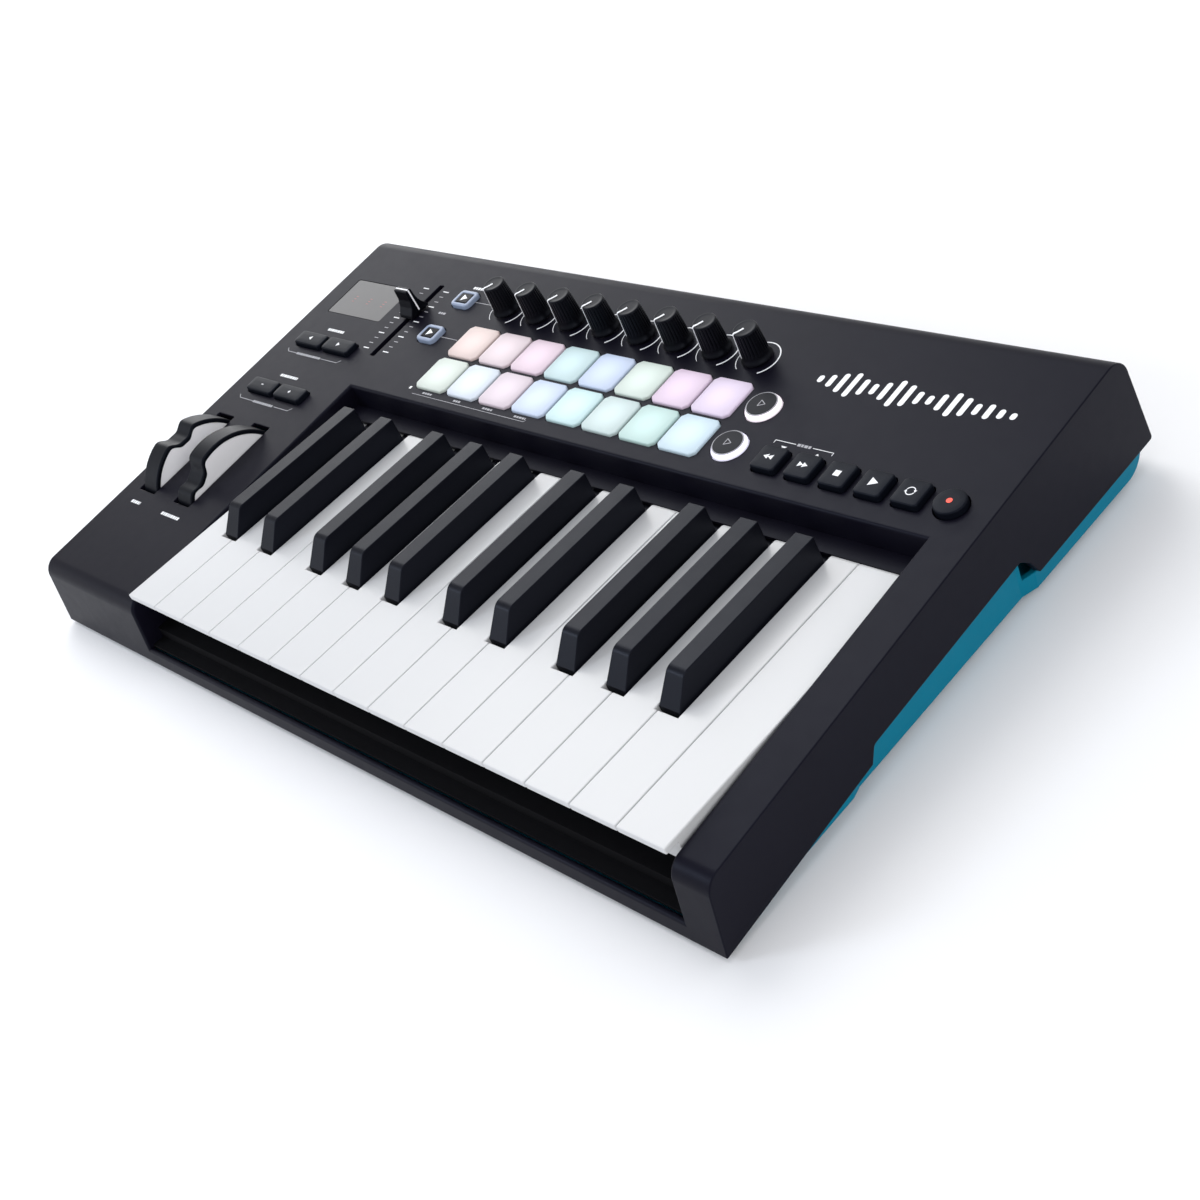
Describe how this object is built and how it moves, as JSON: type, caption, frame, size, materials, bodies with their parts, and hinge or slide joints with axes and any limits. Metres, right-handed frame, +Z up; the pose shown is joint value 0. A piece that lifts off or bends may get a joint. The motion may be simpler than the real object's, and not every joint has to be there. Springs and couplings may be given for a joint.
{
  "type": "midi keyboard",
  "caption": "Compact desktop MIDI keyboard: synth-action keys, lit pads, knobs, a fader, push buttons and two wheels in a sloping case on a coloured tray.",
  "frame": {"origin": "middle of the footprint on the table, at the bottom of the rubber feet", "axes": "+X to the player's right along the keys, +Y away from the player to the rear panel, +Z up"},
  "size_m": [0.457, 0.2715, 0.0717],
  "materials": {
    "black_case": "fine matt texture",
    "teal_tray": "satin",
    "foot_rubber": "matt",
    "white_key_plastic": "satin gloss",
    "black_key_plastic": "fine matt texture with polished edges",
    "chassis_plastic": "matt",
    "board_green": "solder mask",
    "socket_metal": "plated",
    "pad_silicone": "translucent silicone, lit from below in pastel colours",
    "knob_rubber": "satin rubber",
    "fader_plastic": "satin",
    "button_rubber": "satin rubber",
    "smoked_window": "smoked, satin",
    "wheel_rubber": "satin rubber with a pale side disc",
    "bracket_plastic": "matt"
  },
  "bodies": {
    "case": {"bottom_tray": "teal_tray", "control_board": "board_green", "display_window": "smoked_window", "front_foot": "foot_rubber", "io_board": "socket_metal", "key_frame": "chassis_plastic", "pad_mat": "pad_silicone", "rear_foot": "foot_rubber", "top_cover": "black_case", "wheel_bracket": "bracket_plastic"},
    "black_key_01": {"black_key_01": "black_key_plastic"},
    "black_key_02": {"black_key_02": "black_key_plastic"},
    "black_key_03": {"black_key_03": "black_key_plastic"},
    "black_key_04": {"black_key_04": "black_key_plastic"},
    "black_key_05": {"black_key_05": "black_key_plastic"},
    "black_key_06": {"black_key_06": "black_key_plastic"},
    "black_key_07": {"black_key_07": "black_key_plastic"},
    "black_key_08": {"black_key_08": "black_key_plastic"},
    "black_key_09": {"black_key_09": "black_key_plastic"},
    "black_key_10": {"black_key_10": "black_key_plastic"},
    "fader_button_lower": {"fader_button_lower": "button_rubber"},
    "fader_button_upper": {"fader_button_upper": "button_rubber"},
    "fader_cap": {"fader_cap": "fader_plastic"},
    "forward_button": {"forward_button": "button_rubber"},
    "knob_1": {"knob_1": "knob_rubber"},
    "knob_2": {"knob_2": "knob_rubber"},
    "knob_3": {"knob_3": "knob_rubber"},
    "knob_4": {"knob_4": "knob_rubber"},
    "knob_5": {"knob_5": "knob_rubber"},
    "knob_6": {"knob_6": "knob_rubber"},
    "knob_7": {"knob_7": "knob_rubber"},
    "knob_8": {"knob_8": "knob_rubber"},
    "loop_button": {"loop_button": "button_rubber"},
    "modulation_wheel": {"modulation_wheel": "wheel_rubber"},
    "octave_down_button": {"octave_down_button": "button_rubber"},
    "octave_up_button": {"octave_up_button": "button_rubber"},
    "pitch_wheel": {"pitch_wheel": "wheel_rubber"},
    "play_button": {"play_button": "button_rubber"},
    "record_button": {"record_button": "button_rubber"},
    "rewind_button": {"rewind_button": "button_rubber"},
    "scene_button_lower": {"scene_button_lower": "button_rubber"},
    "scene_button_upper": {"scene_button_upper": "button_rubber"},
    "stop_button": {"stop_button": "button_rubber"},
    "track_left_button": {"track_left_button": "button_rubber"},
    "track_right_button": {"track_right_button": "button_rubber"},
    "white_key_01": {"white_key_01": "white_key_plastic"},
    "white_key_02": {"white_key_02": "white_key_plastic"},
    "white_key_03": {"white_key_03": "white_key_plastic"},
    "white_key_04": {"white_key_04": "white_key_plastic"},
    "white_key_05": {"white_key_05": "white_key_plastic"},
    "white_key_06": {"white_key_06": "white_key_plastic"},
    "white_key_07": {"white_key_07": "white_key_plastic"},
    "white_key_08": {"white_key_08": "white_key_plastic"},
    "white_key_09": {"white_key_09": "white_key_plastic"},
    "white_key_10": {"white_key_10": "white_key_plastic"},
    "white_key_11": {"white_key_11": "white_key_plastic"},
    "white_key_12": {"white_key_12": "white_key_plastic"},
    "white_key_13": {"white_key_13": "white_key_plastic"},
    "white_key_14": {"white_key_14": "white_key_plastic"},
    "white_key_15": {"white_key_15": "white_key_plastic"}
  },
  "joints": [
    {"name": "black_key_01_press", "type": "hinge", "parent": "case", "child": "black_key_01", "pos_m": [-0.1227, 0.03785, 0.03075], "axis": [1, 0, 0], "range_deg": [0, 3.4], "stiffness_Nm_per_rad": 0.6, "springref_deg": -6.88},
    {"name": "black_key_02_press", "type": "hinge", "parent": "case", "child": "black_key_02", "pos_m": [-0.0928, 0.03785, 0.03075], "axis": [1, 0, 0], "range_deg": [0, 3.4], "stiffness_Nm_per_rad": 0.6, "springref_deg": -6.88},
    {"name": "black_key_03_press", "type": "hinge", "parent": "case", "child": "black_key_03", "pos_m": [-0.0532, 0.03785, 0.03075], "axis": [1, 0, 0], "range_deg": [0, 3.4], "stiffness_Nm_per_rad": 0.6, "springref_deg": -6.88},
    {"name": "black_key_04_press", "type": "hinge", "parent": "case", "child": "black_key_04", "pos_m": [-0.0255, 0.03785, 0.03075], "axis": [1, 0, 0], "range_deg": [0, 3.4], "stiffness_Nm_per_rad": 0.6, "springref_deg": -6.88},
    {"name": "black_key_05_press", "type": "hinge", "parent": "case", "child": "black_key_05", "pos_m": [0.0022, 0.03785, 0.03075], "axis": [1, 0, 0], "range_deg": [0, 3.4], "stiffness_Nm_per_rad": 0.6, "springref_deg": -6.88},
    {"name": "black_key_06_press", "type": "hinge", "parent": "case", "child": "black_key_06", "pos_m": [0.0418, 0.03785, 0.03075], "axis": [1, 0, 0], "range_deg": [0, 3.4], "stiffness_Nm_per_rad": 0.6, "springref_deg": -6.88},
    {"name": "black_key_07_press", "type": "hinge", "parent": "case", "child": "black_key_07", "pos_m": [0.0717, 0.03785, 0.03075], "axis": [1, 0, 0], "range_deg": [0, 3.4], "stiffness_Nm_per_rad": 0.6, "springref_deg": -6.88},
    {"name": "black_key_08_press", "type": "hinge", "parent": "case", "child": "black_key_08", "pos_m": [0.1113, 0.03785, 0.03075], "axis": [1, 0, 0], "range_deg": [0, 3.4], "stiffness_Nm_per_rad": 0.6, "springref_deg": -6.88},
    {"name": "black_key_09_press", "type": "hinge", "parent": "case", "child": "black_key_09", "pos_m": [0.139, 0.03785, 0.03075], "axis": [1, 0, 0], "range_deg": [0, 3.4], "stiffness_Nm_per_rad": 0.6, "springref_deg": -6.88},
    {"name": "black_key_10_press", "type": "hinge", "parent": "case", "child": "black_key_10", "pos_m": [0.1667, 0.03785, 0.03075], "axis": [1, 0, 0], "range_deg": [0, 3.4], "stiffness_Nm_per_rad": 0.6, "springref_deg": -6.88},
    {"name": "fader_button_lower_press", "type": "slide", "parent": "case", "child": "fader_button_lower", "axis": [0, 0.0862, -0.9963], "range_m": [0, 0.001], "stiffness_N_per_m": 600, "springref_m": -0.0006},
    {"name": "fader_button_upper_press", "type": "slide", "parent": "case", "child": "fader_button_upper", "axis": [0, 0.0862, -0.9963], "range_m": [0, 0.001], "stiffness_N_per_m": 600, "springref_m": -0.0006},
    {"name": "fader_slide", "type": "slide", "parent": "case", "child": "fader_cap", "axis": [0, 0.9963, 0.0862], "range_m": [-0.0288, 0.0162]},
    {"name": "forward_button_press", "type": "slide", "parent": "case", "child": "forward_button", "axis": [0, 0.0862, -0.9963], "range_m": [0, 0.001], "stiffness_N_per_m": 600, "springref_m": -0.0006},
    {"name": "knob_1_turn", "type": "hinge", "parent": "case", "child": "knob_1", "pos_m": [-0.09, 0.09203, 0.0545], "axis": [0, 0.0862, -0.9963], "range_deg": [0, 300]},
    {"name": "knob_2_turn", "type": "hinge", "parent": "case", "child": "knob_2", "pos_m": [-0.06645, 0.09203, 0.0545], "axis": [0, 0.0862, -0.9963], "range_deg": [0, 300]},
    {"name": "knob_3_turn", "type": "hinge", "parent": "case", "child": "knob_3", "pos_m": [-0.0429, 0.09203, 0.0545], "axis": [0, 0.0862, -0.9963], "range_deg": [0, 300]},
    {"name": "knob_4_turn", "type": "hinge", "parent": "case", "child": "knob_4", "pos_m": [-0.01935, 0.09203, 0.0545], "axis": [0, 0.0862, -0.9963], "range_deg": [0, 300]},
    {"name": "knob_5_turn", "type": "hinge", "parent": "case", "child": "knob_5", "pos_m": [0.0042, 0.09203, 0.0545], "axis": [0, 0.0862, -0.9963], "range_deg": [0, 300]},
    {"name": "knob_6_turn", "type": "hinge", "parent": "case", "child": "knob_6", "pos_m": [0.02775, 0.09203, 0.0545], "axis": [0, 0.0862, -0.9963], "range_deg": [0, 300]},
    {"name": "knob_7_turn", "type": "hinge", "parent": "case", "child": "knob_7", "pos_m": [0.0513, 0.09203, 0.0545], "axis": [0, 0.0862, -0.9963], "range_deg": [0, 300]},
    {"name": "knob_8_turn", "type": "hinge", "parent": "case", "child": "knob_8", "pos_m": [0.07485, 0.09203, 0.0545], "axis": [0, 0.0862, -0.9963], "range_deg": [0, 300]},
    {"name": "loop_button_press", "type": "slide", "parent": "case", "child": "loop_button", "axis": [0, 0.0862, -0.9963], "range_m": [0, 0.001], "stiffness_N_per_m": 600, "springref_m": -0.0006},
    {"name": "modulation_wheel_turn", "type": "hinge", "parent": "case", "child": "modulation_wheel", "pos_m": [-0.1769, -0.04142, 0.02489], "axis": [-1, 0, 0], "range_deg": [0, 60]},
    {"name": "octave_down_button_press", "type": "slide", "parent": "case", "child": "octave_down_button", "axis": [0, 0.0862, -0.9963], "range_m": [0, 0.001], "stiffness_N_per_m": 600, "springref_m": -0.0006},
    {"name": "octave_up_button_press", "type": "slide", "parent": "case", "child": "octave_up_button", "axis": [0, 0.0862, -0.9963], "range_m": [0, 0.001], "stiffness_N_per_m": 600, "springref_m": -0.0006},
    {"name": "pitch_wheel_turn", "type": "hinge", "parent": "case", "child": "pitch_wheel", "pos_m": [-0.2098, -0.04142, 0.02489], "axis": [-1, 0, 0], "range_deg": [-30, 30], "stiffness_Nm_per_rad": 0.06},
    {"name": "play_button_press", "type": "slide", "parent": "case", "child": "play_button", "axis": [0, 0.0862, -0.9963], "range_m": [0, 0.001], "stiffness_N_per_m": 600, "springref_m": -0.0006},
    {"name": "record_button_press", "type": "slide", "parent": "case", "child": "record_button", "axis": [0, 0.0862, -0.9963], "range_m": [0, 0.001], "stiffness_N_per_m": 600, "springref_m": -0.0006},
    {"name": "rewind_button_press", "type": "slide", "parent": "case", "child": "rewind_button", "axis": [0, 0.0862, -0.9963], "range_m": [0, 0.001], "stiffness_N_per_m": 600, "springref_m": -0.0006},
    {"name": "scene_button_lower_press", "type": "slide", "parent": "case", "child": "scene_button_lower", "axis": [0, 0.0862, -0.9963], "range_m": [0, 0.001], "stiffness_N_per_m": 600, "springref_m": -0.0006},
    {"name": "scene_button_upper_press", "type": "slide", "parent": "case", "child": "scene_button_upper", "axis": [0, 0.0862, -0.9963], "range_m": [0, 0.001], "stiffness_N_per_m": 600, "springref_m": -0.0006},
    {"name": "stop_button_press", "type": "slide", "parent": "case", "child": "stop_button", "axis": [0, 0.0862, -0.9963], "range_m": [0, 0.001], "stiffness_N_per_m": 600, "springref_m": -0.0006},
    {"name": "track_left_button_press", "type": "slide", "parent": "case", "child": "track_left_button", "axis": [0, 0.0862, -0.9963], "range_m": [0, 0.001], "stiffness_N_per_m": 600, "springref_m": -0.0006},
    {"name": "track_right_button_press", "type": "slide", "parent": "case", "child": "track_right_button", "axis": [0, 0.0862, -0.9963], "range_m": [0, 0.001], "stiffness_N_per_m": 600, "springref_m": -0.0006},
    {"name": "white_key_01_press", "type": "hinge", "parent": "case", "child": "white_key_01", "pos_m": [-0.13125, 0.03785, 0.03075], "axis": [1, 0, 0], "range_deg": [0, 3.4], "stiffness_Nm_per_rad": 0.6, "springref_deg": -6.88},
    {"name": "white_key_02_press", "type": "hinge", "parent": "case", "child": "white_key_02", "pos_m": [-0.10775, 0.03785, 0.03075], "axis": [1, 0, 0], "range_deg": [0, 3.4], "stiffness_Nm_per_rad": 0.6, "springref_deg": -6.88},
    {"name": "white_key_03_press", "type": "hinge", "parent": "case", "child": "white_key_03", "pos_m": [-0.08425, 0.03785, 0.03075], "axis": [1, 0, 0], "range_deg": [0, 3.4], "stiffness_Nm_per_rad": 0.6, "springref_deg": -6.88},
    {"name": "white_key_04_press", "type": "hinge", "parent": "case", "child": "white_key_04", "pos_m": [-0.06075, 0.03785, 0.03075], "axis": [1, 0, 0], "range_deg": [0, 3.4], "stiffness_Nm_per_rad": 0.6, "springref_deg": -6.88},
    {"name": "white_key_05_press", "type": "hinge", "parent": "case", "child": "white_key_05", "pos_m": [-0.03725, 0.03785, 0.03075], "axis": [1, 0, 0], "range_deg": [0, 3.4], "stiffness_Nm_per_rad": 0.6, "springref_deg": -6.88},
    {"name": "white_key_06_press", "type": "hinge", "parent": "case", "child": "white_key_06", "pos_m": [-0.01375, 0.03785, 0.03075], "axis": [1, 0, 0], "range_deg": [0, 3.4], "stiffness_Nm_per_rad": 0.6, "springref_deg": -6.88},
    {"name": "white_key_07_press", "type": "hinge", "parent": "case", "child": "white_key_07", "pos_m": [0.00975, 0.03785, 0.03075], "axis": [1, 0, 0], "range_deg": [0, 3.4], "stiffness_Nm_per_rad": 0.6, "springref_deg": -6.88},
    {"name": "white_key_08_press", "type": "hinge", "parent": "case", "child": "white_key_08", "pos_m": [0.03325, 0.03785, 0.03075], "axis": [1, 0, 0], "range_deg": [0, 3.4], "stiffness_Nm_per_rad": 0.6, "springref_deg": -6.88},
    {"name": "white_key_09_press", "type": "hinge", "parent": "case", "child": "white_key_09", "pos_m": [0.05675, 0.03785, 0.03075], "axis": [1, 0, 0], "range_deg": [0, 3.4], "stiffness_Nm_per_rad": 0.6, "springref_deg": -6.88},
    {"name": "white_key_10_press", "type": "hinge", "parent": "case", "child": "white_key_10", "pos_m": [0.08025, 0.03785, 0.03075], "axis": [1, 0, 0], "range_deg": [0, 3.4], "stiffness_Nm_per_rad": 0.6, "springref_deg": -6.88},
    {"name": "white_key_11_press", "type": "hinge", "parent": "case", "child": "white_key_11", "pos_m": [0.10375, 0.03785, 0.03075], "axis": [1, 0, 0], "range_deg": [0, 3.4], "stiffness_Nm_per_rad": 0.6, "springref_deg": -6.88},
    {"name": "white_key_12_press", "type": "hinge", "parent": "case", "child": "white_key_12", "pos_m": [0.12725, 0.03785, 0.03075], "axis": [1, 0, 0], "range_deg": [0, 3.4], "stiffness_Nm_per_rad": 0.6, "springref_deg": -6.88},
    {"name": "white_key_13_press", "type": "hinge", "parent": "case", "child": "white_key_13", "pos_m": [0.15075, 0.03785, 0.03075], "axis": [1, 0, 0], "range_deg": [0, 3.4], "stiffness_Nm_per_rad": 0.6, "springref_deg": -6.88},
    {"name": "white_key_14_press", "type": "hinge", "parent": "case", "child": "white_key_14", "pos_m": [0.17425, 0.03785, 0.03075], "axis": [1, 0, 0], "range_deg": [0, 3.4], "stiffness_Nm_per_rad": 0.6, "springref_deg": -6.88},
    {"name": "white_key_15_press", "type": "hinge", "parent": "case", "child": "white_key_15", "pos_m": [0.19775, 0.03785, 0.03075], "axis": [1, 0, 0], "range_deg": [0, 3.4], "stiffness_Nm_per_rad": 0.6, "springref_deg": -6.88}
  ]
}
